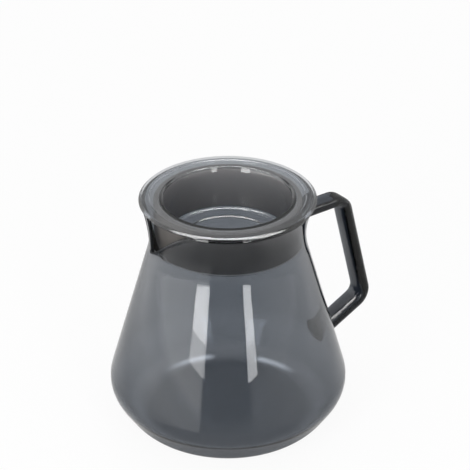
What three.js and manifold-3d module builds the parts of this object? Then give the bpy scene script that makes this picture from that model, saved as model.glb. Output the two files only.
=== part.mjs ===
// A smoke-grey glass coffee pot: a blown conical body with a V pouring lip, a fused bar handle,
// and a pressed glass lid whose hollow plug wears a silicone sealing sleeve.
// Millimetres, +Z up. The origin is the middle of the flat base, the handle is on +X and the lip on -X.

import * as THREE from "three";
import { mergeVertices } from "three/addons/utils/BufferGeometryUtils.js";
import Module from "manifold-3d";

// Body
const BODY_DIAMETER = 120;
const BODY_WALL = 2;
const BASE_THICKNESS = 2;
const BASE_CURVE_RADIUS = 18.5;
const BASE_INNER_RADIUS = 12;
const FLANK_LEAN_DEGREES = 32.7;
const HEEL_RADIUS = 13.9;
const HEEL_HEIGHT = 22.6;
const NECK_DIAMETER = 76.6;
const NECK_HEIGHT = 104.8;
const NECK_CURVE_RADIUS = 38;
const RIM_ABOVE_NECK = 17.5;

// Pouring lip: its drop below the round rim, and its reach out from the neck's own curve
const LIP_REACH = 7.3;
const LIP_DROP = 14.8;
const LIP_HALF_WIDTH = 24;
const LIP_ROOT_BELOW_NECK = 4;
const LIP_TIP_RADIUS = 1;
const LIP_TAPER_POWER = 1.5;
const LIP_POINT_POWER = 1.7;
const LIP_SWEEP_POWER = 1.5;

// Handle
const HANDLE_WIDTH = 11.2;
const HANDLE_EDGE_RADIUS = 2;
const BAR_THICKNESS = 5.1;
const GRIP_THICKNESS = 6.7;
const ARM_THICKNESS = 7.8;
const BAR_BELOW_NECK = 1.3;
const BAR_REACH = 35.7;
const ARM_FOOT_HEIGHT = 24;
const ARM_REACH = 32.1;
const ARM_RISE = 12;
const TOP_OUTER_BEND = 12;
const TOP_INNER_BEND = 3;
const LOW_OUTER_BEND = 10;
const LOW_INNER_BEND = 5;
const FOOT_FLARE = 2.4;
const FOOT_DEPTH = 4;
const FUSED_GAP = 0.3;

// Lid and its seal
const LID_OVERHANG = 1.1;
const LID_SEAT_GAP = 0.3;
const FLANGE_THICKNESS = 1.7;
const LID_WALL = 3;
const PLUG_DEPTH = 27;
const PLUG_CORNER_RADIUS = 3;
const BOWL_EDGE_RADIUS = 2;
const BOWL_FLARE_RADIUS = 18;
const BOWL_FLARE_DEGREES = 22;
const BOWL_FLOOR_RADIUS = 4;
const SEAL_THICKNESS = 2.7;
const SEAL_HEIGHT = 21.9;
const SEAL_EDGE_RADIUS = 0.8;
const SEAL_GAP = 0.3;

// Facets
const ROUND_STEPS = 72;
const ARC_STEPS = 8;
const SMALL_ARC_STEPS = 4;
const EDGE_STEPS = 2;
const FOOT_STEPS = 24;
const MERGE_DISTANCE = 1e-4;

// Sizes that follow from the ones above
const bodyRadius = BODY_DIAMETER / 2;
const neckRadius = NECK_DIAMETER / 2;
const rimHeight = NECK_HEIGHT + RIM_ABOVE_NECK;
const flankLean = THREE.MathUtils.degToRad(FLANK_LEAN_DEGREES);
const heelCentre = new THREE.Vector2(bodyRadius - HEEL_RADIUS, HEEL_HEIGHT);
const neckCentre = new THREE.Vector2(neckRadius + NECK_CURVE_RADIUS, NECK_HEIGHT);
const midWallCurve = NECK_CURVE_RADIUS + BODY_WALL / 2;
const rimAngle = Math.PI - Math.asin((RIM_ABOVE_NECK - BODY_WALL / 2) / midWallCurve);
const rimCentre = arc(neckCentre, midWallCurve, rimAngle, rimAngle, 1)[0];
const rimRadius = rimCentre.x + BODY_WALL / 2;
const sealOuterRadius = neckRadius - BODY_WALL - SEAL_GAP;
const sealInnerRadius = sealOuterRadius - SEAL_THICKNESS;
const plugRadius = sealInnerRadius - SEAL_GAP;
const bowlRadius = plugRadius - LID_WALL;
const flangeRadius = rimRadius + LID_OVERHANG;
const flangeUnderside = rimHeight + LID_SEAT_GAP;
const lidTop = flangeUnderside + FLANGE_THICKNESS;

const { Manifold, Mesh } = await loadSolids();

async function loadSolids() {
  const wasm = await Module();
  wasm.setup();
  return wasm;
}

// Points of a circular arc in a radius and height plane, with angles from the outward direction.
function arc(centre, radius, start, end, steps) {
  return Array.from({ length: steps + 1 }, (_, i) => {
    const angle = start + ((end - start) * i) / steps;
    return new THREE.Vector2(centre.x + radius * Math.cos(angle), centre.y + radius * Math.sin(angle));
  });
}

// Centre of a curve that touches both a level floor and the straight flank below a heel.
function cornerCentre(floor, radius, heelRadius) {
  const drop = (HEEL_HEIGHT - floor - radius) * Math.sin(flankLean);
  const inward = (drop + radius - heelRadius) / Math.cos(flankLean);
  return new THREE.Vector2(heelCentre.x - inward, floor + radius);
}

// Lean of the straight side that touches both the heel circle and the neck circle.
function coneLean() {
  const across = neckCentre.clone().sub(heelCentre);
  const facing = Math.acos((HEEL_RADIUS + NECK_CURVE_RADIUS) / across.length());
  return across.angle() - facing;
}

// The body's side from a floor up to the rim, moved outward by a distance. A negative one gives the inside.
function bodySide(outward, floor, cornerRadius) {
  const lean = coneLean();
  const heelRadius = HEEL_RADIUS + outward;
  const corner = cornerCentre(floor, cornerRadius, heelRadius);
  return [
    ...arc(corner, cornerRadius, -Math.PI / 2, -flankLean, ARC_STEPS),
    ...arc(heelCentre, heelRadius, -flankLean, lean, ARC_STEPS),
    ...arc(neckCentre, NECK_CURVE_RADIUS - outward, Math.PI + lean, rimAngle, ARC_STEPS),
  ];
}

// A closed solid of revolution about Z from a profile of radius and height.
function revolve(profile) {
  return new THREE.LatheGeometry(profile, ROUND_STEPS).rotateX(Math.PI / 2);
}

// How far the lip is drawn out at a distance along the rim: 1 at the tip, 0 where the rim is round again.
function lipShare(distance) {
  const fromTip = (length) => Math.hypot(length, LIP_TIP_RADIUS) - LIP_TIP_RADIUS;
  return Math.max(0, 1 - fromTip(distance) / fromTip(LIP_HALF_WIDTH)) ** LIP_TAPER_POWER;
}

// Radius of the neck's curve in the middle of the wall.
function neckAt(height) {
  return neckCentre.x - Math.sqrt(midWallCurve ** 2 - (height - NECK_HEIGHT) ** 2);
}

// Brings the top of the neck down along its own curve around -X, and pulls it out to a point.
function drawLip(geometry) {
  const root = NECK_HEIGHT - LIP_ROOT_BELOW_NECK;
  const position = geometry.getAttribute("position");
  for (let i = 0; i < position.count; i++) {
    const x = position.getX(i);
    const y = position.getY(i);
    const z = position.getZ(i);
    const share = lipShare(rimRadius * Math.atan2(Math.abs(y), -x));
    const rise = THREE.MathUtils.clamp((z - root) / (rimHeight - root), 0, 1);
    if (share * rise > 0) {
      const lowered = z - LIP_DROP * share * rise;
      const pulled = LIP_REACH * share ** LIP_POINT_POWER * rise ** LIP_SWEEP_POWER;
      const grown = 1 + (neckAt(lowered) - neckAt(z) + pulled) / Math.hypot(x, y);
      position.setXYZ(i, x * grown, y * grown, lowered);
    }
  }
  return geometry;
}

function glassBody() {
  const outside = bodySide(0, 0, BASE_CURVE_RADIUS);
  const inside = bodySide(-BODY_WALL, BASE_THICKNESS, BASE_INNER_RADIUS).reverse();
  const outward = rimAngle - Math.PI;
  const rim = arc(rimCentre, BODY_WALL / 2, outward, outward + Math.PI, SMALL_ARC_STEPS);
  const profile = [
    new THREE.Vector2(0, 0),
    ...outside,
    ...rim.slice(1, -1),
    ...inside,
    new THREE.Vector2(0, BASE_THICKNESS),
  ];
  return drawLip(revolve(profile));
}

// The inner corners of a bent bar, from its outer ones and a thickness for each straight.
function innerCorners(corners, thicknesses) {
  const inward = thicknesses.map((_, i) => {
    const along = corners[i + 1].clone().sub(corners[i]).normalize();
    return new THREE.Vector2(along.y, -along.x);
  });
  const shift = inward.map((direction, i) => direction.clone().multiplyScalar(thicknesses[i]));
  const bends = inward.slice(1).map((after, i) => {
    const before = inward[i];
    const crossing = new THREE.Vector2(
      thicknesses[i] * after.y - thicknesses[i + 1] * before.y,
      thicknesses[i + 1] * before.x - thicknesses[i] * after.x,
    );
    return crossing.divideScalar(before.cross(after)).add(corners[i + 1]);
  });
  return [corners[0].clone().add(shift[0]), ...bends, corners.at(-1).clone().add(shift.at(-1))];
}

// A line through corners, with each bend rounded.
function rounded(corners, radii) {
  const bends = radii.flatMap((radius, i) => {
    const [from, corner, to] = corners.slice(i, i + 3);
    const before = corner.clone().sub(from).normalize();
    const after = to.clone().sub(corner).normalize();
    const turn = Math.atan2(before.cross(after), before.dot(after));
    const hand = Math.sign(turn);
    const centre = corner
      .clone()
      .addScaledVector(before, -radius * Math.tan(Math.abs(turn) / 2))
      .add(new THREE.Vector2(-before.y, before.x).multiplyScalar(hand * radius));
    const first = before.angle() - (hand * Math.PI) / 2;
    return arc(centre, radius, first, first + turn, ARC_STEPS);
  });
  return [corners[0], ...bends, corners.at(-1)];
}

function asSolid(geometry) {
  const bare = geometry.clone();
  bare.deleteAttribute("normal");
  bare.deleteAttribute("uv");
  const merged = mergeVertices(bare, MERGE_DISTANCE);
  return new Manifold(
    new Mesh({
      numProp: 3,
      vertProperties: merged.getAttribute("position").array,
      triVerts: new Uint32Array(merged.index.array),
    }),
  );
}

function asGeometry(solid) {
  const mesh = solid.getMesh();
  return new THREE.BufferGeometry()
    .setAttribute("position", new THREE.BufferAttribute(mesh.vertProperties, 3))
    .setIndex(new THREE.BufferAttribute(mesh.triVerts, 1));
}

// The flare where an end of the handle is fused to the wall.
function foot(reach, height, thickness) {
  return new THREE.SphereGeometry(1, FOOT_STEPS, FOOT_STEPS / 2)
    .scale(FOOT_DEPTH, HANDLE_WIDTH / 2 + FOOT_FLARE, thickness / 2 + FOOT_FLARE)
    .translate(reach, 0, height);
}

function handle() {
  const barTop = NECK_HEIGHT - BAR_BELOW_NECK;
  const outer = [
    new THREE.Vector2(neckRadius - BODY_WALL, barTop),
    new THREE.Vector2(neckRadius + BAR_REACH, barTop),
    new THREE.Vector2(bodyRadius + ARM_REACH, ARM_FOOT_HEIGHT + ARM_RISE),
    new THREE.Vector2(bodyRadius - BODY_WALL, ARM_FOOT_HEIGHT - ARM_THICKNESS / 2),
  ];
  const inner = innerCorners(outer, [BAR_THICKNESS, GRIP_THICKNESS, ARM_THICKNESS]);
  const outline = new THREE.Shape([
    ...rounded(outer, [TOP_OUTER_BEND, LOW_OUTER_BEND]),
    ...rounded(inner, [TOP_INNER_BEND, LOW_INNER_BEND]).reverse(),
  ]);
  const depth = HANDLE_WIDTH - 2 * HANDLE_EDGE_RADIUS;
  const bar = new THREE.ExtrudeGeometry(outline, {
    depth,
    bevelThickness: HANDLE_EDGE_RADIUS,
    bevelSize: HANDLE_EDGE_RADIUS,
    bevelOffset: -HANDLE_EDGE_RADIUS,
    bevelSegments: EDGE_STEPS,
  })
    .translate(0, 0, -depth / 2)
    .rotateX(Math.PI / 2);
  const vessel = revolve([
    new THREE.Vector2(0, -FUSED_GAP),
    ...bodySide(FUSED_GAP, -FUSED_GAP, BASE_CURVE_RADIUS + FUSED_GAP),
    new THREE.Vector2(0, rimHeight),
  ]);
  const fused = asSolid(bar)
    .add(asSolid(foot(neckRadius, barTop - BAR_THICKNESS / 2, BAR_THICKNESS)))
    .add(asSolid(foot(bodyRadius, ARM_FOOT_HEIGHT, ARM_THICKNESS)));
  return asGeometry(fused.subtract(asSolid(vessel)));
}

function lid() {
  const plugBottom = lidTop - PLUG_DEPTH;
  const bowlFloor = plugBottom + LID_WALL;
  const edgeRadius = FLANGE_THICKNESS / 2;
  const at = (radius, height) => new THREE.Vector2(radius, height);
  const plugCorner = at(plugRadius - PLUG_CORNER_RADIUS, plugBottom + PLUG_CORNER_RADIUS);
  const flangeEdge = at(flangeRadius - edgeRadius, flangeUnderside + edgeRadius);
  const floorCorner = at(bowlRadius - BOWL_FLOOR_RADIUS, bowlFloor + BOWL_FLOOR_RADIUS);
  const quarter = Math.PI / 2;
  const flare = THREE.MathUtils.degToRad(BOWL_FLARE_DEGREES);
  const mouth = bowlRadius + BOWL_FLARE_RADIUS * (1 - Math.cos(flare));
  const bowlEdge = at(mouth + BOWL_EDGE_RADIUS * Math.cos(flare), lidTop - BOWL_EDGE_RADIUS);
  const flareHeight = bowlEdge.y + (BOWL_EDGE_RADIUS - BOWL_FLARE_RADIUS) * Math.sin(flare);
  const flareCentre = at(bowlRadius + BOWL_FLARE_RADIUS, flareHeight);
  return revolve([
    at(0, plugBottom),
    ...arc(plugCorner, PLUG_CORNER_RADIUS, -quarter, 0, SMALL_ARC_STEPS),
    at(plugRadius, flangeUnderside),
    ...arc(flangeEdge, edgeRadius, -quarter, quarter, 2 * SMALL_ARC_STEPS),
    ...arc(bowlEdge, BOWL_EDGE_RADIUS, quarter, 2 * quarter - flare, SMALL_ARC_STEPS),
    ...arc(flareCentre, BOWL_FLARE_RADIUS, 2 * quarter - flare, 2 * quarter, SMALL_ARC_STEPS).slice(1),
    ...arc(floorCorner, BOWL_FLOOR_RADIUS, 0, -quarter, SMALL_ARC_STEPS),
    at(0, bowlFloor),
  ]);
}

function lidSeal() {
  const top = flangeUnderside - SEAL_GAP;
  const bottom = top - SEAL_HEIGHT;
  const quarter = Math.PI / 2;
  const corner = (radius, height, turn) =>
    arc(new THREE.Vector2(radius, height), SEAL_EDGE_RADIUS, turn, turn + quarter, SMALL_ARC_STEPS / 2);
  const inner = sealInnerRadius + SEAL_EDGE_RADIUS;
  const outer = sealOuterRadius - SEAL_EDGE_RADIUS;
  const profile = [
    ...corner(outer, bottom + SEAL_EDGE_RADIUS, -quarter),
    ...corner(outer, top - SEAL_EDGE_RADIUS, 0),
    ...corner(inner, top - SEAL_EDGE_RADIUS, quarter),
    ...corner(inner, bottom + SEAL_EDGE_RADIUS, 2 * quarter),
  ];
  return revolve([...profile, profile[0]]);
}

const smokeGlass = { color: 0x6a6f76, roughness: 0.03, metalness: 0, transparent: true, opacity: 0.45 };
const paleGlass = { color: 0x93969b, roughness: 0.03, metalness: 0, transparent: true, opacity: 0.35 };
const silicone = { color: 0x6b625c, roughness: 0.45, metalness: 0, transparent: true, opacity: 0.85 };

function piece(name, geometry, look) {
  const mesh = new THREE.Mesh(geometry, new THREE.MeshStandardMaterial(look));
  mesh.name = name;
  return mesh;
}

const coffeePot = new THREE.Group();
coffeePot.add(
  piece("glass_body", glassBody(), smokeGlass),
  piece("handle", handle(), smokeGlass),
  piece("lid", lid(), paleGlass),
  piece("lid_seal", lidSeal(), silicone),
);

export default coffeePot;
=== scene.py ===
"""A smoke-grey glass coffee pot.

It has a blown conical body with a V lip, a fused bar handle and a glass lid on a silicone sleeve.
Metres, +Z up. The origin is the middle of the flat base, the handle is on +X and the lip on -X.
"""

import math

import bpy
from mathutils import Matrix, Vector


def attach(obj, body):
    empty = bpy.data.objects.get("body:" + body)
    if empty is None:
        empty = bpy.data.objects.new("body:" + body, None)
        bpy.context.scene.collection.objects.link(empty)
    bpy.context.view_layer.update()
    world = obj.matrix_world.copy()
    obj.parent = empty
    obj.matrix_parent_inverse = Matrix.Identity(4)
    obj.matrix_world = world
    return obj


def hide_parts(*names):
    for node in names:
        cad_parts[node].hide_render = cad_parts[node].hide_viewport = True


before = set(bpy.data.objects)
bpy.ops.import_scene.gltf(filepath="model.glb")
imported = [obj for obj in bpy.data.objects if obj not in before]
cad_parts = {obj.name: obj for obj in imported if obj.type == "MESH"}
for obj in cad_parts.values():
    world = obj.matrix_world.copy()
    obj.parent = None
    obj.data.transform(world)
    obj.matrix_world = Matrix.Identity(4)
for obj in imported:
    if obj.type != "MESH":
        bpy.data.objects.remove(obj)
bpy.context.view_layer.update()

QUARTER = math.pi / 2
WHITE = (1, 1, 1, 1)

# Body
BODY_RADIUS = 0.060
BODY_WALL = 0.002
BASE_THICKNESS = 0.002
BASE_CURVE_RADIUS = 0.0185
BASE_INNER_RADIUS = 0.012
FLANK_LEAN = math.radians(32.7)
HEEL_RADIUS = 0.0139
HEEL_HEIGHT = 0.0226
NECK_RADIUS = 0.0383
NECK_HEIGHT = 0.1048
NECK_CURVE_RADIUS = 0.038
RIM_ABOVE_NECK = 0.0175

# Pouring lip
LIP_REACH = 0.0073
LIP_DROP = 0.0148
LIP_HALF_WIDTH = 0.024
LIP_ROOT_BELOW_NECK = 0.004
LIP_TIP_RADIUS = 0.001
LIP_TAPER_POWER = 1.5
LIP_POINT_POWER = 1.7
LIP_SWEEP_POWER = 1.5

# Dark shade painted on the lip's rounded rim, kept as a value of each point
RIM_SHADE = "rim_shade"
RIM_SHADE_GAIN = 6
RIM_SHADE_DEPTH = 0.0019
RIM_SHADE_CRISPNESS = 3
# Near-black colour of the painted shade on the lip's rim
RIM_SHADE_COLOUR = (0.008, 0.009, 0.011, 1)
RIM_IOR = 1.38
RIM_ROUGHNESS = 0.05

# Handle
HANDLE_WIDTH = 0.0112
HANDLE_ROUNDING = 0.93
BAR_THICKNESS = 0.0051
GRIP_THICKNESS = 0.0067
ARM_THICKNESS = 0.0078
BAR_BELOW_NECK = 0.0013
BAR_REACH = 0.0357
ARM_FOOT_HEIGHT = 0.024
ARM_REACH = 0.0321
ARM_RISE = 0.012
OUTER_BENDS = (0.012, 0.010)
INNER_BENDS = (0.003, 0.005)
FOOT_FLARE = 0.0014
FOOT_LENGTH = 0.005
FUSED_GAP = 0.0003

# Lid and its seal
LID_OVERHANG = 0.0011
LID_SEAT_GAP = 0.0003
FLANGE_THICKNESS = 0.0017
LID_WALL = 0.003
PLUG_DEPTH = 0.027
PLUG_CORNER_RADIUS = 0.003
BOWL_FLARE_RADIUS = 0.018
BOWL_FLARE_LEAN = math.radians(22)
BOWL_EDGE_RADIUS = 0.001
FLANGE_BEVEL_RADIUS = 0.005
FLANGE_BEVEL = (math.radians(53), math.radians(38))
FLANGE_BEVEL_EDGE = 0.0004
FLANGE_STEP_RADIUS = 0.0378
FLANGE_STEP_WIDTH = 0.0008
FLANGE_STEP_DROP = 0.0004
BOWL_FLOOR_RADIUS = 0.0015
BOWL_RING_RADIUS = 0.022
BOWL_RING_WIDTH = 0.0007
BOWL_RING_RISE = 0.0005
PLUG_ROOT_RADIUS = 0.0006
SEAL_THICKNESS = 0.0027
SEAL_HEIGHT = 0.0219
SEAL_EDGE_RADIUS = 0.0008
SEAL_GAP = 0.0003
SEAL_GRIP = 0.00002
# Height of the painted highlight along the sleeve's lower edge
SEAL_HIGHLIGHT_EDGE = 0.0012

# Fineness of the surfaces
ROUND_STEPS = 256
LONG_ARC_STEPS = 32
SHORT_ARC_STEPS = 10
LINE_STEPS = 12

# Camera, turned from straight in front of the part towards its lip
CAMERA_TURN = math.radians(36)
CAMERA_DISTANCE = 0.701
CAMERA_HEIGHT = 0.5
AIM_HEIGHT = 0.1022
AIM_TO_RIGHT = 0.0035
CAMERA_LENS = 126.4
SENSOR_WIDTH = 36
CLIP_START = 0.01

# Glass: the light that it takes away per metre in red, green and blue, and its surface
SMOKE = (470, 442, 407)
PALE_SMOKE = (176, 167, 155)
TINT_DENSITY = 1000
GLASS_IOR = 1.47
HANDLE_IOR = 1.35
GLASS_ROUGHNESS = (0.0, 0.015)
GLASS_GRAIN = {"scale": 300, "detail": 3}
GLASS_WAVES = {"scale": 28, "detail": 1}
GLASS_WAVE_HEIGHT = 0.001
BODY_WAVINESS = 0.05
LID_WAVINESS = 0.03
HANDLE_WAVINESS = 0.08

# Silicone: its colours, with painted light on the inner face and top and a painted highlight on the lower
# edge, the light that it passes on and the share of it, and its surface
SILICONE_DARK = (0.07, 0.065, 0.06, 1)
SILICONE_LIGHT = (0.12, 0.111, 0.104, 1)
# Painted light: the inner face much paler than the cloudy outer face, and the top less so
SILICONE_INNER_PAINTED_LIGHT = (0.78, 0.73, 0.69, 1)
SILICONE_TOP_PAINTED_LIGHT = (0.24, 0.235, 0.23, 1)
# Colour of the painted highlight along the lower edge
SILICONE_EDGE_HIGHLIGHT = (0.9, 0.88, 0.85, 1)
SILICONE_GLOW = (0.45, 0.42, 0.39, 1)
SILICONE_GLOW_SHARE = (0.18, 0.26)
SILICONE_CLOUDS = {"scale": 60, "detail": 4}
SILICONE_IOR = 1.41
SILICONE_ROUGHNESS = (0.45, 0.6)
SILICONE_POLISH = {"scale": 900, "detail": 2}
SILICONE_GRAIN = {"scale": 1500, "detail": 2}
SILICONE_GRAIN_STRENGTH = 0.15
SILICONE_GRAIN_HEIGHT = 0.0002

# Floor: paper under a share of plain white, to the camera and through glass
FLOOR_REACH = 4
FLOOR_DROP = 0.0002
FLOOR_PAPER = (0.88, 0.88, 0.88, 1)
GLOW_TO_CAMERA = 0.92
GLOW_THROUGH_GLASS = 0.4

# Table that mirrored rays meet on the floor, a glow with painted light and shade, dimmer next to the base
# and towards the camera: levels by metres from the pot's axis, and by degrees from the camera's direction to
# its right
TABLE_PAINTED_GLOW = [(0.046, 0.45), (0.05, 0.5), (0.056, 1.0), (0.16, 1.0)]
TABLE_PAINTED_SIDES = [
    (-180, 1.0), (-160, 0.65), (-100, 0.85), (-70, 1.0), (-45, 0.6),
    (40, 0.55), (65, 0.85), (100, 0.8), (160, 0.65), (180, 1.0),
]
TABLE_CLEAR = [(0.16, 0.0), (0.3, 0.5), (0.44, 0.5), (0.6, 1.0)]

# Painted light: two arcs on the floor behind the base, standing for light that the pot focuses there, seen
# through glass alone, by the same metres and degrees
PAINTED_ARC_GLOW = 2.2
PAINTED_ARC_REACH = [(0.0435, 0.0), (0.0455, 1.0), (0.047, 1.0), (0.0485, 0.0)]
PAINTED_ARC_SIDES = [
    (-180, 0), (-172, 0), (-166, 1), (-150, 0.8), (-134, 0),
    (130, 0), (142, 0.8), (158, 1), (163, 0), (180, 0),
]

# Tent that mirrored rays meet: its walls by degrees from the camera's direction to its right,
# and a strip light overhead by how far a ray goes towards the camera and up
TENT_STRENGTH = 16
TENT_STEPS = [
    (-180, 0.015), (-150, 0.06), (-120, 0.17), (-60, 0.18), (-27, 0.145), (-24, 0.003),
    (20, 0.003), (23, 0.03), (60, 0.075), (120, 0.12), (150, 0.05), (180, 0.015),
]
STRIP_FORWARD = [(-0.05, 0.0), (0.1, 0.95), (0.45, 0.95), (0.6, 0.0)]
STRIP_RISE = [(0.55, 0.0), (0.65, 1.0)]

# Lamps: even light from all sides, two upright softboxes and a sheet of light behind the pot
EVEN_LIGHT = 0.75
BOX_DISTANCE = 0.62
BOX_TOP = 0.46
BOX_EDGE = 0.05
LEFT_BOX = {
    "turn": math.radians(-31.6), "width": 0.186, "bottom": 0.022, "radiance": 9.2, "edge_radiance": 4,
}
RIGHT_BOX = {
    "turn": math.radians(23.9), "width": 0.105, "bottom": 0.022, "radiance": 8.7, "edge_radiance": 6.5,
}
CANOPY = {"lift": math.radians(42), "distance": 1.6, "width": 2.0, "height": 1.3, "radiance": 0.25}
LIGHT_BOUNCES = 32

# Places that follow from the sizes
neck_centre = (NECK_RADIUS + NECK_CURVE_RADIUS, NECK_HEIGHT)
heel_centre = (BODY_RADIUS - HEEL_RADIUS, HEEL_HEIGHT)
rim_height = NECK_HEIGHT + RIM_ABOVE_NECK
rim_angle = math.pi - math.asin((RIM_ABOVE_NECK - BODY_WALL / 2) / (NECK_CURVE_RADIUS + BODY_WALL / 2))
rim_centre = (
    neck_centre[0] + (NECK_CURVE_RADIUS + BODY_WALL / 2) * math.cos(rim_angle),
    neck_centre[1] + (NECK_CURVE_RADIUS + BODY_WALL / 2) * math.sin(rim_angle),
)
rim_radius = rim_centre[0] + BODY_WALL / 2
seal_outer = NECK_RADIUS - BODY_WALL - SEAL_GAP
plug_radius = seal_outer - SEAL_THICKNESS - SEAL_GAP
seal_inner = plug_radius - SEAL_GRIP
bowl_radius = plug_radius - LID_WALL
flange_underside = rim_height + LID_SEAT_GAP
lid_top = flange_underside + FLANGE_THICKNESS
seal_bottom = flange_underside - SEAL_GAP - SEAL_HEIGHT


def arc(centre, radius, start, end, steps):
    """Points of an arc in a radius and height plane, with angles from the outward direction."""
    angles = [start + (end - start) * i / steps for i in range(steps + 1)]
    return [(centre[0] + radius * math.cos(a), centre[1] + radius * math.sin(a)) for a in angles]


def line(start, end, steps):
    """Points between two ends, without the ends."""
    shares = [i / steps for i in range(1, steps)]
    return [tuple(a + (b - a) * s for a, b in zip(start, end)) for s in shares]


def smooth(share):
    """A share from 0 to 1 that starts and ends level."""
    return share * share * (3 - 2 * share)


def corner_centre(floor, corner_radius, heel_radius):
    """Centre of a corner's curve that touches a level floor and the straight flank below the heel."""
    drop = (HEEL_HEIGHT - floor - corner_radius) * math.sin(FLANK_LEAN)
    inward = (drop + corner_radius - heel_radius) / math.cos(FLANK_LEAN)
    return heel_centre[0] - inward, floor + corner_radius


def cone_lean():
    """Lean of the straight side that touches both the heel circle and the neck circle."""
    across = (neck_centre[0] - heel_centre[0], neck_centre[1] - heel_centre[1])
    facing = math.acos((HEEL_RADIUS + NECK_CURVE_RADIUS) / math.hypot(*across))
    return math.atan2(across[1], across[0]) - facing


def body_side(inset, floor, corner_radius):
    """The body's side from a floor to the rim, moved inward by a distance from the outside."""
    lean = cone_lean()
    heel_radius = HEEL_RADIUS - inset
    corner = corner_centre(floor, corner_radius, heel_radius)
    base = arc(corner, corner_radius, -QUARTER, -FLANK_LEAN, LONG_ARC_STEPS)
    heel = arc(heel_centre, heel_radius, -FLANK_LEAN, lean, LONG_ARC_STEPS)
    neck = arc(neck_centre, NECK_CURVE_RADIUS + inset, math.pi + lean, rim_angle, LONG_ARC_STEPS)
    return base + line(base[-1], heel[0], LINE_STEPS) + heel + line(heel[-1], neck[0], LINE_STEPS) + neck


def side_radius(height):
    """Outer radius of the body at a height."""
    side = body_side(0, 0, BASE_CURVE_RADIUS)
    for (r0, z0), (r1, z1) in zip(side, side[1:]):
        if z0 <= height <= z1:
            return r0 + (r1 - r0) * (height - z0) / (z1 - z0)
    return side[-1][0]


def mesh_piece(name, vertices, faces):
    """A smooth-shaded mesh object in the scene."""
    mesh = bpy.data.meshes.new(name)
    mesh.from_pydata(vertices, [], faces)
    mesh.update()
    mesh.shade_smooth()
    piece = bpy.data.objects.new(name, mesh)
    bpy.context.scene.collection.objects.link(piece)
    return piece


def revolve(name, profile, reshape=None, shade=None):
    """A closed solid of revolution. A profile that doesn't start and end on the axis is a closed loop.

    A reshape moves each point, and a shade gives each point its painted darkness before it is moved.
    """
    from_axis = profile[0][0] == 0
    rings = profile[1:-1] if from_axis else profile
    vertices = []
    for radius, height in rings:
        for i in range(ROUND_STEPS):
            angle = 2 * math.pi * i / ROUND_STEPS
            vertices.append((radius * math.cos(angle), radius * math.sin(angle), height))
    faces = []
    pairs = list(zip(range(len(rings) - 1), range(1, len(rings))))
    if not from_axis:
        pairs.append((len(rings) - 1, 0))
    for lower, upper in pairs:
        for i in range(ROUND_STEPS):
            j = (i + 1) % ROUND_STEPS
            faces.append((
                lower * ROUND_STEPS + i,
                lower * ROUND_STEPS + j,
                upper * ROUND_STEPS + j,
                upper * ROUND_STEPS + i,
            ))
    if from_axis:
        first = len(vertices)
        vertices += [(0, 0, profile[0][1]), (0, 0, profile[-1][1])]
        last_ring = (len(rings) - 1) * ROUND_STEPS
        for i in range(ROUND_STEPS):
            j = (i + 1) % ROUND_STEPS
            faces.append((first, j, i))
            faces.append((first + 1, last_ring + i, last_ring + j))
    shades = [shade(*v) for v in vertices] if shade else []
    if reshape:
        vertices = [reshape(*v) for v in vertices]
    piece = mesh_piece(name, vertices, faces)
    if shade:
        piece.data.attributes.new(RIM_SHADE, "FLOAT", "POINT").data.foreach_set("value", shades)
    return piece


def lip_share(x, y):
    """How far the lip is drawn out at a place round the rim: 1 at the tip, 0 where the rim is round."""
    def from_tip(length):
        return math.hypot(length, LIP_TIP_RADIUS) - LIP_TIP_RADIUS
    distance = rim_radius * math.atan2(abs(y), -x)
    return max(0, 1 - from_tip(distance) / from_tip(LIP_HALF_WIDTH)) ** LIP_TAPER_POWER


def neck_at(height):
    """Radius of the neck's curve in the middle of the wall."""
    return neck_centre[0] - math.sqrt((NECK_CURVE_RADIUS + BODY_WALL / 2) ** 2 - (height - NECK_HEIGHT) ** 2)


def draw_lip(x, y, z):
    """Brings a point of the neck down along its own curve around -X, and pulls it out to a point."""
    root = NECK_HEIGHT - LIP_ROOT_BELOW_NECK
    if z <= root or x >= 0:
        return x, y, z
    share = lip_share(x, y)
    rise = min(1, (z - root) / (rim_height - root))
    lowered = z - LIP_DROP * share * rise
    pulled = LIP_REACH * share ** LIP_POINT_POWER * rise ** LIP_SWEEP_POWER
    grown = 1 + (neck_at(lowered) - neck_at(z) + pulled) / math.hypot(x, y)
    return x * grown, y * grown, lowered


def rim_shade(x, y, z):
    """How much painted dark shade the rounded rim gets at the lip, where it is seen along the wall."""
    outward, upward = math.hypot(x, y) - rim_centre[0], z - rim_centre[1]
    beyond = outward * math.sin(rim_angle) - upward * math.cos(rim_angle)
    if beyond <= -RIM_SHADE_DEPTH or x >= 0:
        return 0
    edge = min(1, RIM_SHADE_CRISPNESS * (1 + beyond / RIM_SHADE_DEPTH))
    return edge * min(1, RIM_SHADE_GAIN * lip_share(x, y))


def make_body():
    """The blown vessel, with its lip drawn out of the neck and a painted dark shade on the lip's rim."""
    outside = body_side(0, 0, BASE_CURVE_RADIUS)
    inside = body_side(BODY_WALL, BASE_THICKNESS, BASE_INNER_RADIUS)[::-1]
    outward = rim_angle - math.pi
    rim = arc(rim_centre, BODY_WALL / 2, outward, outward + math.pi, SHORT_ARC_STEPS)
    profile = (
        [(0, 0)]
        + line((0, 0), outside[0], LINE_STEPS)
        + outside
        + rim[1:-1]
        + inside
        + line(inside[-1], (0, BASE_THICKNESS), LINE_STEPS)
        + [(0, BASE_THICKNESS)]
    )
    return revolve("pot_glass", profile, draw_lip, rim_shade)


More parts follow.
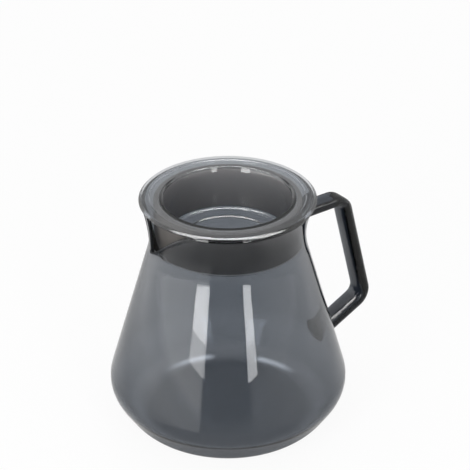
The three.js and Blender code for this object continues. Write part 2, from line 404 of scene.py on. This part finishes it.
def inner_corners(corners, thicknesses):
    """The inner corners of a bent bar, from its outer ones and a thickness for each straight."""
    inward = []
    for a, b in zip(corners, corners[1:]):
        direction = (b - a).normalized()
        inward.append(Vector((direction.y, -direction.x)))
    found = [corners[0] + inward[0] * thicknesses[0]]
    for i in range(1, len(inward)):
        before, after = inward[i - 1], inward[i]
        t, u = thicknesses[i - 1], thicknesses[i]
        crossing = Vector((t * after.y - u * before.y, u * before.x - t * after.x))
        found.append(corners[i] + crossing / before.cross(after))
    return found + [corners[-1] + inward[-1] * thicknesses[-1]]


def bend(corners, i, radius):
    """Points of the rounded bend at a corner."""
    before = (corners[i] - corners[i - 1]).normalized()
    after = (corners[i + 1] - corners[i]).normalized()
    turn = math.atan2(before.cross(after), before.dot(after))
    hand = math.copysign(1, turn)
    centre = corners[i] - before * radius * math.tan(abs(turn) / 2)
    centre = centre + Vector((-before.y, before.x)) * hand * radius
    first = math.atan2(before.y, before.x) - hand * QUARTER
    return [Vector(p) for p in arc(centre, radius, first, first + turn, LONG_ARC_STEPS)]


def rounded_section(half_width, half_height):
    """A bar's rounded rectangle as points of (across, up), all the way round."""
    radius = HANDLE_ROUNDING * half_height
    flat_width, flat_height = half_width - radius, half_height - radius
    centres = [
        (flat_width, flat_height), (-flat_width, flat_height),
        (-flat_width, -flat_height), (flat_width, -flat_height),
    ]
    points = []
    for i, centre in enumerate(centres):
        points += arc(centre, radius, i * QUARTER, (i + 1) * QUARTER, SHORT_ARC_STEPS)
    return points


def foot_rings(height, slope, thickness, sense):
    """Rings of a flared end, from the body's wall outward.

    The sense is 1 where the section's up is +Z, and -1 where it is -Z.
    """
    middle = side_radius(height) + FUSED_GAP
    rings = []
    for k in range(SHORT_ARC_STEPS + 1):
        away = FOOT_LENGTH * k / SHORT_ARC_STEPS
        settle = k / SHORT_ARC_STEPS
        flare = FOOT_FLARE * (1 - settle) ** 2
        section = rounded_section(HANDLE_WIDTH / 2 + flare, thickness / 2 + flare)
        ring = []
        for across, up in section:
            level = height + sense * up
            wall = math.sqrt((side_radius(level) + FUSED_GAP) ** 2 - across ** 2)
            ring.append((wall + (middle - wall) * settle + away, across, level + slope * away))
        rings.append(ring)
    return rings


def make_handle():
    """A bent bar, from its flared foot on the neck to the one on the body's side."""
    bar_top = NECK_HEIGHT - BAR_BELOW_NECK
    outer = [
        Vector((NECK_RADIUS - BODY_WALL, bar_top)),
        Vector((NECK_RADIUS + BAR_REACH, bar_top)),
        Vector((BODY_RADIUS + ARM_REACH, ARM_FOOT_HEIGHT + ARM_RISE)),
        Vector((BODY_RADIUS - BODY_WALL, ARM_FOOT_HEIGHT - ARM_THICKNESS / 2)),
    ]
    inner = inner_corners(outer, [BAR_THICKNESS, GRIP_THICKNESS, ARM_THICKNESS])
    outer_bends = [bend(outer, i + 1, r) for i, r in enumerate(OUTER_BENDS)]
    inner_bends = [bend(inner, i + 1, r) for i, r in enumerate(INNER_BENDS)]
    pairs = []
    for o_bend, i_bend in zip(outer_bends, inner_bends):
        if pairs:
            o_last, i_last = pairs[-1]
            straight = zip(line(o_last, o_bend[0], LINE_STEPS), line(i_last, i_bend[0], LINE_STEPS))
            pairs += [(Vector(o), Vector(i)) for o, i in straight]
        pairs += list(zip(o_bend, i_bend))
    rings = []
    for o, i in pairs:
        middle, half = (o + i) / 2, (o - i) / 2
        up = half.normalized()
        section = rounded_section(HANDLE_WIDTH / 2, half.length)
        rings.append([(middle.x + up.x * h, across, middle.y + up.y * h) for across, h in section])

    along_arm = (outer[3] - outer[2]).normalized()
    slope = along_arm.y / along_arm.x
    arm_height = ARM_THICKNESS / abs(along_arm.x)
    arm_middle = outer[2].y + slope * (side_radius(ARM_FOOT_HEIGHT) - outer[2].x) + arm_height / 2
    upper = foot_rings(bar_top - BAR_THICKNESS / 2, 0, BAR_THICKNESS, 1)
    lower = foot_rings(arm_middle, slope, arm_height, -1)
    rings = upper + rings + lower[::-1]

    count = len(rings[0])
    vertices = [p for ring in rings for p in ring]
    faces = []
    for k in range(len(rings) - 1):
        for i in range(count):
            j = (i + 1) % count
            faces.append((k * count + i, k * count + j, (k + 1) * count + j, (k + 1) * count + i))
    faces.append(tuple(range(count))[::-1])
    faces.append(tuple(range((len(rings) - 1) * count, len(rings) * count)))
    return mesh_piece("handle_bar", vertices, faces)


def soft_step(radius, width, height, drop):
    """Points of a small rounded step, from its upper level outside to its lower level inside."""
    shares = [i / SHORT_ARC_STEPS for i in range(SHORT_ARC_STEPS + 1)]
    return [(radius + width * (0.5 - share), height - drop * smooth(share)) for share in shares]


def make_lid():
    """A bevelled flange, a hollow plug under it, and a bowl with a low ring on its floor."""
    plug_bottom = lid_top - PLUG_DEPTH
    bowl_floor = plug_bottom + LID_WALL
    flange_radius = rim_radius + LID_OVERHANG
    plug_corner = arc(
        (plug_radius - PLUG_CORNER_RADIUS, plug_bottom + PLUG_CORNER_RADIUS),
        PLUG_CORNER_RADIUS, -QUARTER, 0, SHORT_ARC_STEPS,
    )
    root_fillet = arc(
        (plug_radius + PLUG_ROOT_RADIUS, flange_underside - PLUG_ROOT_RADIUS),
        PLUG_ROOT_RADIUS, 2 * QUARTER, QUARTER, SHORT_ARC_STEPS,
    )
    high, low = FLANGE_BEVEL
    nose = arc(
        (flange_radius - FLANGE_BEVEL_EDGE, flange_underside + FLANGE_BEVEL_EDGE),
        FLANGE_BEVEL_EDGE, -QUARTER, low, SHORT_ARC_STEPS,
    )
    inward = FLANGE_BEVEL_RADIUS - FLANGE_BEVEL_EDGE
    bevel_centre = (
        flange_radius - FLANGE_BEVEL_EDGE - inward * math.cos(low),
        flange_underside + FLANGE_BEVEL_EDGE - inward * math.sin(low),
    )
    bevel = arc(bevel_centre, FLANGE_BEVEL_RADIUS, low, high, SHORT_ARC_STEPS)
    shoulder_radius = (lid_top - bevel[-1][1]) / (1 - math.sin(high))
    shoulder_centre = (bevel[-1][0] - shoulder_radius * math.cos(high), lid_top - shoulder_radius)
    shoulder = arc(shoulder_centre, shoulder_radius, high, QUARTER, SHORT_ARC_STEPS)
    flange_edge = nose + bevel[1:] + shoulder[1:]
    step = soft_step(FLANGE_STEP_RADIUS, FLANGE_STEP_WIDTH, lid_top, FLANGE_STEP_DROP)
    facing = 2 * QUARTER - BOWL_FLARE_LEAN
    flare_join = bowl_radius + BOWL_FLARE_RADIUS * (1 - math.cos(BOWL_FLARE_LEAN))
    edge_centre = (
        flare_join + BOWL_EDGE_RADIUS * math.cos(BOWL_FLARE_LEAN),
        step[-1][1] - BOWL_EDGE_RADIUS,
    )
    edge = arc(edge_centre, BOWL_EDGE_RADIUS, QUARTER, facing, SHORT_ARC_STEPS)
    flare_centre = (
        bowl_radius + BOWL_FLARE_RADIUS,
        edge[-1][1] - BOWL_FLARE_RADIUS * math.sin(BOWL_FLARE_LEAN),
    )
    flare = arc(flare_centre, BOWL_FLARE_RADIUS, facing, 2 * QUARTER, LONG_ARC_STEPS)
    ledge = bowl_floor + BOWL_RING_RISE
    ring = soft_step(BOWL_RING_RADIUS, BOWL_RING_WIDTH, ledge, BOWL_RING_RISE)
    floor_corner = arc(
        (bowl_radius - BOWL_FLOOR_RADIUS, ledge + BOWL_FLOOR_RADIUS),
        BOWL_FLOOR_RADIUS, 0, -QUARTER, SHORT_ARC_STEPS,
    )
    profile = (
        [(0, plug_bottom)]
        + line((0, plug_bottom), plug_corner[0], LINE_STEPS)
        + plug_corner
        + line(plug_corner[-1], root_fillet[0], LINE_STEPS)
        + root_fillet
        + line(root_fillet[-1], flange_edge[0], LINE_STEPS)
        + flange_edge
        + line(flange_edge[-1], step[0], LINE_STEPS)
        + step
        + line(step[-1], edge[0], LINE_STEPS)
        + edge
        + flare[1:]
        + line(flare[-1], floor_corner[0], LINE_STEPS)
        + floor_corner
        + line(floor_corner[-1], ring[0], LINE_STEPS)
        + ring
        + line(ring[-1], (0, bowl_floor), LINE_STEPS)
        + [(0, bowl_floor)]
    )
    return revolve("lid_glass", profile)


def make_seal():
    """The sleeve round the plug, with rounded edges."""
    inner, outer = seal_inner + SEAL_EDGE_RADIUS, seal_outer - SEAL_EDGE_RADIUS
    low, high = seal_bottom + SEAL_EDGE_RADIUS, seal_bottom + SEAL_HEIGHT - SEAL_EDGE_RADIUS
    corners = [
        arc(centre, SEAL_EDGE_RADIUS, turn * QUARTER, (turn + 1) * QUARTER, SHORT_ARC_STEPS)
        for centre, turn in [((outer, low), -1), ((outer, high), 0), ((inner, high), 1), ((inner, low), 2)]
    ]
    profile = []
    for corner, following in zip(corners, corners[1:] + corners[:1]):
        profile += corner + line(corner[-1], following[0], LINE_STEPS)
    return revolve("seal_sleeve", profile)


def new_material(name):
    """An empty node material, with its nodes and links."""
    material = bpy.data.materials.new(name)
    material.use_nodes = True
    nodes = material.node_tree.nodes
    nodes.clear()
    return material, nodes, material.node_tree.links


def surface_noise(nodes, links, scale, detail):
    """Noise in the part's own metres."""
    place = nodes.new("ShaderNodeTexCoord")
    noise = nodes.new("ShaderNodeTexNoise")
    noise.inputs["Scale"].default_value = scale
    noise.inputs["Detail"].default_value = detail
    links.new(place.outputs["Object"], noise.inputs["Vector"])
    return noise.outputs["Fac"]


def span(nodes, links, value, low, high):
    """A noise value brought into a range."""
    ranged = nodes.new("ShaderNodeMapRange")
    ranged.inputs["To Min"].default_value = low
    ranged.inputs["To Max"].default_value = high
    links.new(value, ranged.inputs["Value"])
    return ranged.outputs["Result"]


def share_between(nodes, links, value, start, end):
    """0 at a value's start and 1 at its end."""
    ranged = nodes.new("ShaderNodeMapRange")
    ranged.inputs["From Min"].default_value = start
    ranged.inputs["From Max"].default_value = end
    links.new(value, ranged.inputs["Value"])
    return ranged.outputs["Result"]


def bumps(nodes, links, height, strength, distance):
    """A normal that follows a height."""
    bump = nodes.new("ShaderNodeBump")
    bump.inputs["Strength"].default_value = strength
    bump.inputs["Distance"].default_value = distance
    links.new(height, bump.inputs["Height"])
    return bump.outputs["Normal"]


def mix_colour(nodes, links, share, under, over):
    """A fixed colour laid over another by a share."""
    mix = nodes.new("ShaderNodeMixRGB")
    links.new(share, mix.inputs["Fac"])
    links.new(under, mix.inputs["Color1"])
    mix.inputs["Color2"].default_value = over
    return mix.outputs["Color"]


def mix_over(nodes, links, share, under, over):
    """One shader laid over another by a share."""
    mix = nodes.new("ShaderNodeMixShader")
    links.new(share, mix.inputs[0])
    links.new(under.outputs[0], mix.inputs[1])
    links.new(over.outputs[0], mix.inputs[2])
    return mix


def math_node(nodes, links, operation, *values):
    """A calculation on values that are each a number or an output."""
    node = nodes.new("ShaderNodeMath")
    node.operation = operation
    for socket, value in zip(node.inputs, values):
        if isinstance(value, (int, float)):
            socket.default_value = value
        else:
            links.new(value, socket)
    return node.outputs[0]


def along(nodes, links, place, direction):
    """How far a place lies along a direction."""
    side = nodes.new("ShaderNodeVectorMath")
    side.operation = "DOT_PRODUCT"
    side.inputs[1].default_value = direction
    links.new(place, side.inputs[0])
    return side.outputs["Value"]


def distance_from_origin(nodes, links, place):
    """How far a place lies from the origin."""
    distance = nodes.new("ShaderNodeVectorMath")
    distance.operation = "LENGTH"
    links.new(place, distance.inputs[0])
    return distance.outputs["Value"]


def level_ramp(nodes, links, value, steps):
    """A grey level that runs straight between steps of position and level."""
    ramp = nodes.new("ShaderNodeValToRGB")
    elements = ramp.color_ramp.elements
    while len(elements) < len(steps):
        elements.new(1)
    for element, (position, level) in zip(elements, steps):
        element.position = position
        element.color = (level, level, level, 1)
    links.new(value, ramp.inputs["Fac"])
    return ramp.outputs["Color"]


def camera_frame():
    """The directions to the camera's right and away from it, on the floor."""
    right = Vector((math.cos(CAMERA_TURN), -math.sin(CAMERA_TURN), 0))
    away = Vector((math.sin(CAMERA_TURN), math.cos(CAMERA_TURN), 0))
    return right, away


def turn_ramp(nodes, links, place, steps):
    """A grey level by degrees from the camera's direction to its right."""
    right, away = camera_frame()
    to_right = along(nodes, links, place, right)
    to_camera = along(nodes, links, place, -away)
    turn = math_node(nodes, links, "ARCTAN2", to_right, to_camera)
    turn = math_node(nodes, links, "DIVIDE", turn, 2 * math.pi)
    turn = math_node(nodes, links, "ADD", turn, 0.5)
    return level_ramp(nodes, links, turn, [(degrees / 360 + 0.5, level) for degrees, level in steps])


def smoke_glass(name, absorbed, ior, thickness, waviness):
    """Grey glass that absorbs red, green and blue per metre, with a faint waviness and a painted dark shade on
    the lip's rim. Lamps shine through it.
    """
    material, nodes, links = new_material(name)
    glass = nodes.new("ShaderNodeBsdfPrincipled")
    glass.inputs["Base Color"].default_value = WHITE
    glass.inputs["Transmission Weight"].default_value = 1
    glass.inputs["IOR"].default_value = ior
    grain = surface_noise(nodes, links, **GLASS_GRAIN)
    links.new(span(nodes, links, grain, *GLASS_ROUGHNESS), glass.inputs["Roughness"])
    waves = surface_noise(nodes, links, **GLASS_WAVES)
    links.new(bumps(nodes, links, waves, waviness, GLASS_WAVE_HEIGHT), glass.inputs["Normal"])

    # A lamp's ray crosses two faces of a wall, and each takes half of what the wall absorbs
    clear = nodes.new("ShaderNodeBsdfTransparent")
    clear.inputs["Color"].default_value = [math.exp(-a * thickness / 2) for a in absorbed] + [1]
    path = nodes.new("ShaderNodeLightPath")
    surface = mix_over(nodes, links, path.outputs["Is Shadow Ray"], glass, clear)
    # Painted shade: a near-black glossy surface laid over the glass where the lip's rim carries its painted
    # shade value
    dark = nodes.new("ShaderNodeBsdfPrincipled")
    dark.inputs["Base Color"].default_value = RIM_SHADE_COLOUR
    dark.inputs["Roughness"].default_value = RIM_ROUGHNESS
    dark.inputs["IOR"].default_value = RIM_IOR
    shade = nodes.new("ShaderNodeAttribute")
    shade.attribute_name = RIM_SHADE
    surface = mix_over(nodes, links, shade.outputs["Fac"], surface, dark)
    tint = nodes.new("ShaderNodeVolumeAbsorption")
    tint.inputs["Color"].default_value = [1 - a / TINT_DENSITY for a in absorbed] + [1]
    tint.inputs["Density"].default_value = TINT_DENSITY
    output = nodes.new("ShaderNodeOutputMaterial")
    links.new(surface.outputs[0], output.inputs["Surface"])
    links.new(tint.outputs[0], output.inputs["Volume"])
    return material


def silicone_colour(nodes, links):
    """Cloudy on the outer face, with painted light on the inner face, less of it on the top, and a painted
    highlight on the lower edge.
    """
    cloud = nodes.new("ShaderNodeValToRGB")
    cloud.color_ramp.elements[0].color = SILICONE_DARK
    cloud.color_ramp.elements[1].color = SILICONE_LIGHT
    links.new(surface_noise(nodes, links, **SILICONE_CLOUDS), cloud.inputs["Fac"])
    place = nodes.new("ShaderNodeTexCoord").outputs["Object"]
    level = nodes.new("ShaderNodeVectorMath")
    level.operation = "MULTIPLY"
    level.inputs[1].default_value = (1, 1, 0)
    links.new(place, level.inputs[0])
    radius = distance_from_origin(nodes, links, level.outputs[0])
    # Painted light: the inner face and the top are paler than the cloudy outer face
    inner = share_between(nodes, links, radius, seal_outer, seal_outer - SEAL_EDGE_RADIUS)
    colour = mix_colour(nodes, links, inner, cloud.outputs["Color"], SILICONE_INNER_PAINTED_LIGHT)
    height = along(nodes, links, place, (0, 0, 1))
    top = seal_bottom + SEAL_HEIGHT
    # Painted light on the top, kept lower than on the inner face
    top_light_share = share_between(nodes, links, height, top - SEAL_EDGE_RADIUS, top - SEAL_EDGE_RADIUS / 2)
    colour = mix_colour(nodes, links, top_light_share, colour, SILICONE_TOP_PAINTED_LIGHT)
    # Painted highlight: a pale band along the lower edge
    highlight_from, highlight_to = seal_bottom + SEAL_HIGHLIGHT_EDGE, seal_bottom + SEAL_HIGHLIGHT_EDGE / 2
    edge_highlight = share_between(nodes, links, height, highlight_from, highlight_to)
    return mix_colour(nodes, links, edge_highlight, colour, SILICONE_EDGE_HIGHLIGHT)


def milky_silicone():
    """Brown-grey silicone rubber that glows where light comes from behind it."""
    material, nodes, links = new_material("silicone")
    rubber = nodes.new("ShaderNodeBsdfPrincipled")
    links.new(silicone_colour(nodes, links), rubber.inputs["Base Color"])
    rubber.inputs["IOR"].default_value = SILICONE_IOR
    polish = surface_noise(nodes, links, **SILICONE_POLISH)
    links.new(span(nodes, links, polish, *SILICONE_ROUGHNESS), rubber.inputs["Roughness"])
    grain = surface_noise(nodes, links, **SILICONE_GRAIN)
    normal = bumps(nodes, links, grain, SILICONE_GRAIN_STRENGTH, SILICONE_GRAIN_HEIGHT)
    links.new(normal, rubber.inputs["Normal"])
    behind = nodes.new("ShaderNodeBsdfTranslucent")
    behind.inputs["Color"].default_value = SILICONE_GLOW
    share = span(nodes, links, surface_noise(nodes, links, **SILICONE_CLOUDS), *SILICONE_GLOW_SHARE)
    output = nodes.new("ShaderNodeOutputMaterial")
    links.new(mix_over(nodes, links, share, rubber, behind).outputs[0], output.inputs["Surface"])
    return material


def dress(piece, body, node, material):
    """Puts a piece in the place of a CAD node."""
    piece.data.materials.append(material)
    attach(piece, body)
    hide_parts(node)


def make_camera():
    """The camera at the photograph's viewing angle."""
    right, away = camera_frame()
    lens = bpy.data.cameras.new("camera")
    lens.lens = CAMERA_LENS
    lens.sensor_width = SENSOR_WIDTH
    lens.clip_start = CLIP_START
    camera = bpy.data.objects.new("camera", lens)
    bpy.context.scene.collection.objects.link(camera)
    camera.location = -away * CAMERA_DISTANCE + Vector((0, 0, CAMERA_HEIGHT))
    aim = right * AIM_TO_RIGHT + Vector((0, 0, AIM_HEIGHT))
    camera.rotation_euler = (aim - camera.location).to_track_quat("-Z", "Y").to_euler()
    bpy.context.scene.camera = camera


def make_floor():
    """Pale paper that stays white to the camera, with two painted arcs of light seen through glass. Mirrored
    rays meet a table glowing with painted light and shade, that ends in front of the tent.
    """
    corners = [
        (x * FLOOR_REACH, y * FLOOR_REACH, -FLOOR_DROP)
        for x, y in [(-1, -1), (1, -1), (1, 1), (-1, 1)]
    ]
    floor = mesh_piece("floor", corners, [(0, 1, 2, 3)])
    material, nodes, links = new_material("pale_floor")
    path = nodes.new("ShaderNodeLightPath").outputs
    place = nodes.new("ShaderNodeTexCoord").outputs["Object"]
    reach = distance_from_origin(nodes, links, place)

    paper = nodes.new("ShaderNodeBsdfDiffuse")
    paper.inputs["Color"].default_value = FLOOR_PAPER
    white = nodes.new("ShaderNodeEmission")
    seen = math_node(nodes, links, "MULTIPLY", path["Is Camera Ray"], GLOW_TO_CAMERA)
    through = math_node(nodes, links, "MULTIPLY", path["Is Transmission Ray"], GLOW_THROUGH_GLASS)
    surface = mix_over(nodes, links, math_node(nodes, links, "MAXIMUM", seen, through), paper, white)

    # Painted light: two arcs glowing on the floor, seen only by rays that crossed glass
    arcs = math_node(
        nodes, links, "MULTIPLY",
        level_ramp(nodes, links, reach, PAINTED_ARC_REACH),
        turn_ramp(nodes, links, place, PAINTED_ARC_SIDES),
    )
    arcs = math_node(nodes, links, "MULTIPLY", arcs, path["Is Transmission Ray"])
    painted_arc_light = nodes.new("ShaderNodeEmission")
    painted_arc_light.inputs["Strength"].default_value = PAINTED_ARC_GLOW
    surface = mix_over(nodes, links, arcs, surface, painted_arc_light)

    # Painted light and shade: the table glows for mirrored rays, dimmer next to the base and towards the
    # camera
    shine = math_node(
        nodes, links, "MULTIPLY",
        level_ramp(nodes, links, reach, TABLE_PAINTED_GLOW),
        turn_ramp(nodes, links, place, TABLE_PAINTED_SIDES),
    )
    table = nodes.new("ShaderNodeEmission")
    links.new(shine, table.inputs["Color"])
    clear = nodes.new("ShaderNodeBsdfTransparent")
    table = mix_over(nodes, links, level_ramp(nodes, links, reach, TABLE_CLEAR), table, clear)
    mirrored = math_node(nodes, links, "GREATER_THAN", path["Is Glossy Ray"], path["Is Transmission Ray"])
    surface = mix_over(nodes, links, mirrored, surface, table)
    output = nodes.new("ShaderNodeOutputMaterial")
    links.new(surface.outputs[0], output.inputs["Surface"])
    floor.data.materials.append(material)


def make_tent(nodes, links):
    """Brightness of the studio's walls and of a strip light overhead, as the glass mirrors them."""
    place = nodes.new("ShaderNodeTexCoord").outputs["Generated"]
    walls = turn_ramp(nodes, links, place, TENT_STEPS)
    forward = along(nodes, links, place, -camera_frame()[1])
    forward = math_node(nodes, links, "MULTIPLY_ADD", forward, 0.5, 0.5)
    across = level_ramp(nodes, links, forward, [((share + 1) / 2, level) for share, level in STRIP_FORWARD])
    rise = along(nodes, links, place, (0, 0, 1))
    strip = math_node(nodes, links, "MULTIPLY", across, level_ramp(nodes, links, rise, STRIP_RISE))
    return math_node(nodes, links, "MAXIMUM", walls, strip)


def background(nodes, strength):
    """White light of a strength, from the whole world."""
    light = nodes.new("ShaderNodeBackground")
    light.inputs["Color"].default_value = WHITE
    light.inputs["Strength"].default_value = strength
    return light


def make_world():
    """White to the camera and through glass, an even light, and a tent with a dark slot to mirrored rays."""
    world = bpy.data.worlds.new("studio")
    bpy.context.scene.world = world
    world.use_nodes = True
    nodes, links = world.node_tree.nodes, world.node_tree.links
    nodes.clear()
    path = nodes.new("ShaderNodeLightPath").outputs
    tent = background(nodes, TENT_STRENGTH)
    links.new(make_tent(nodes, links), tent.inputs["Color"])
    surface = mix_over(nodes, links, path["Is Glossy Ray"], background(nodes, EVEN_LIGHT), tent)
    seen = math_node(nodes, links, "MAXIMUM", path["Is Camera Ray"], path["Is Transmission Ray"])
    surface = mix_over(nodes, links, seen, surface, background(nodes, 1))
    output = nodes.new("ShaderNodeOutputWorld")
    links.new(surface.outputs[0], output.inputs["Surface"])


def lamp_panel(name, place, width, height, radiance):
    """A rectangular lamp of an even radiance, out of the camera's sight."""
    lamp = bpy.data.lights.new(name, "AREA")
    lamp.shape = "RECTANGLE"
    lamp.size = width
    lamp.size_y = height
    lamp.energy = radiance * math.pi * width * height
    panel = bpy.data.objects.new(name, lamp)
    bpy.context.scene.collection.objects.link(panel)
    panel.location = place
    panel.visible_camera = False
    return panel


def softbox(name, turn, width, bottom, radiance, edge_radiance):
    """An upright strip light, turned from the camera's direction to its right, with a dimmer lower edge."""
    right, away = camera_frame()
    direction = -away * math.cos(turn) + right * math.sin(turn)
    parts = [("", BOX_EDGE, BOX_TOP, radiance), ("_edge", bottom, BOX_EDGE, edge_radiance)]
    for part, low, high, level in parts:
        place = direction * BOX_DISTANCE + Vector((0, 0, (low + high) / 2))
        panel = lamp_panel(name + part, place, width, high - low, level)
        panel.rotation_euler = (-direction).to_track_quat("-Z", "Y").to_euler()


def canopy(name, lift, distance, width, height, radiance):
    """A broad sheet of light behind and above the part."""
    away = camera_frame()[1]
    direction = away * math.cos(lift) + Vector((0, 0, math.sin(lift)))
    panel = lamp_panel(name, direction * distance, width, height, radiance)
    panel.rotation_euler = (-direction).to_track_quat("-Z", "Y").to_euler()


def make_studio():
    """Camera, floor, world and lamps."""
    make_camera()
    make_floor()
    make_world()
    softbox("softbox_left", **LEFT_BOX)
    softbox("softbox_right", **RIGHT_BOX)
    canopy("canopy", **CANOPY)
    scene = bpy.context.scene
    scene.view_settings.view_transform = "Standard"
    scene.cycles.max_bounces = LIGHT_BOUNCES
    scene.cycles.transmission_bounces = LIGHT_BOUNCES
    scene.cycles.transparent_max_bounces = LIGHT_BOUNCES


body_glass = smoke_glass("smoke_glass", SMOKE, GLASS_IOR, BODY_WALL, BODY_WAVINESS)
lid_glass = smoke_glass("lid_glass", PALE_SMOKE, GLASS_IOR, LID_WALL, LID_WAVINESS)
handle_glass = smoke_glass("handle_glass", SMOKE, HANDLE_IOR, HANDLE_WIDTH, HANDLE_WAVINESS)
dress(make_body(), "pot", "glass_body", body_glass)
dress(make_handle(), "pot", "handle", handle_glass)
dress(make_lid(), "lid", "lid", lid_glass)
dress(make_seal(), "seal", "lid_seal", milky_silicone())
make_studio()
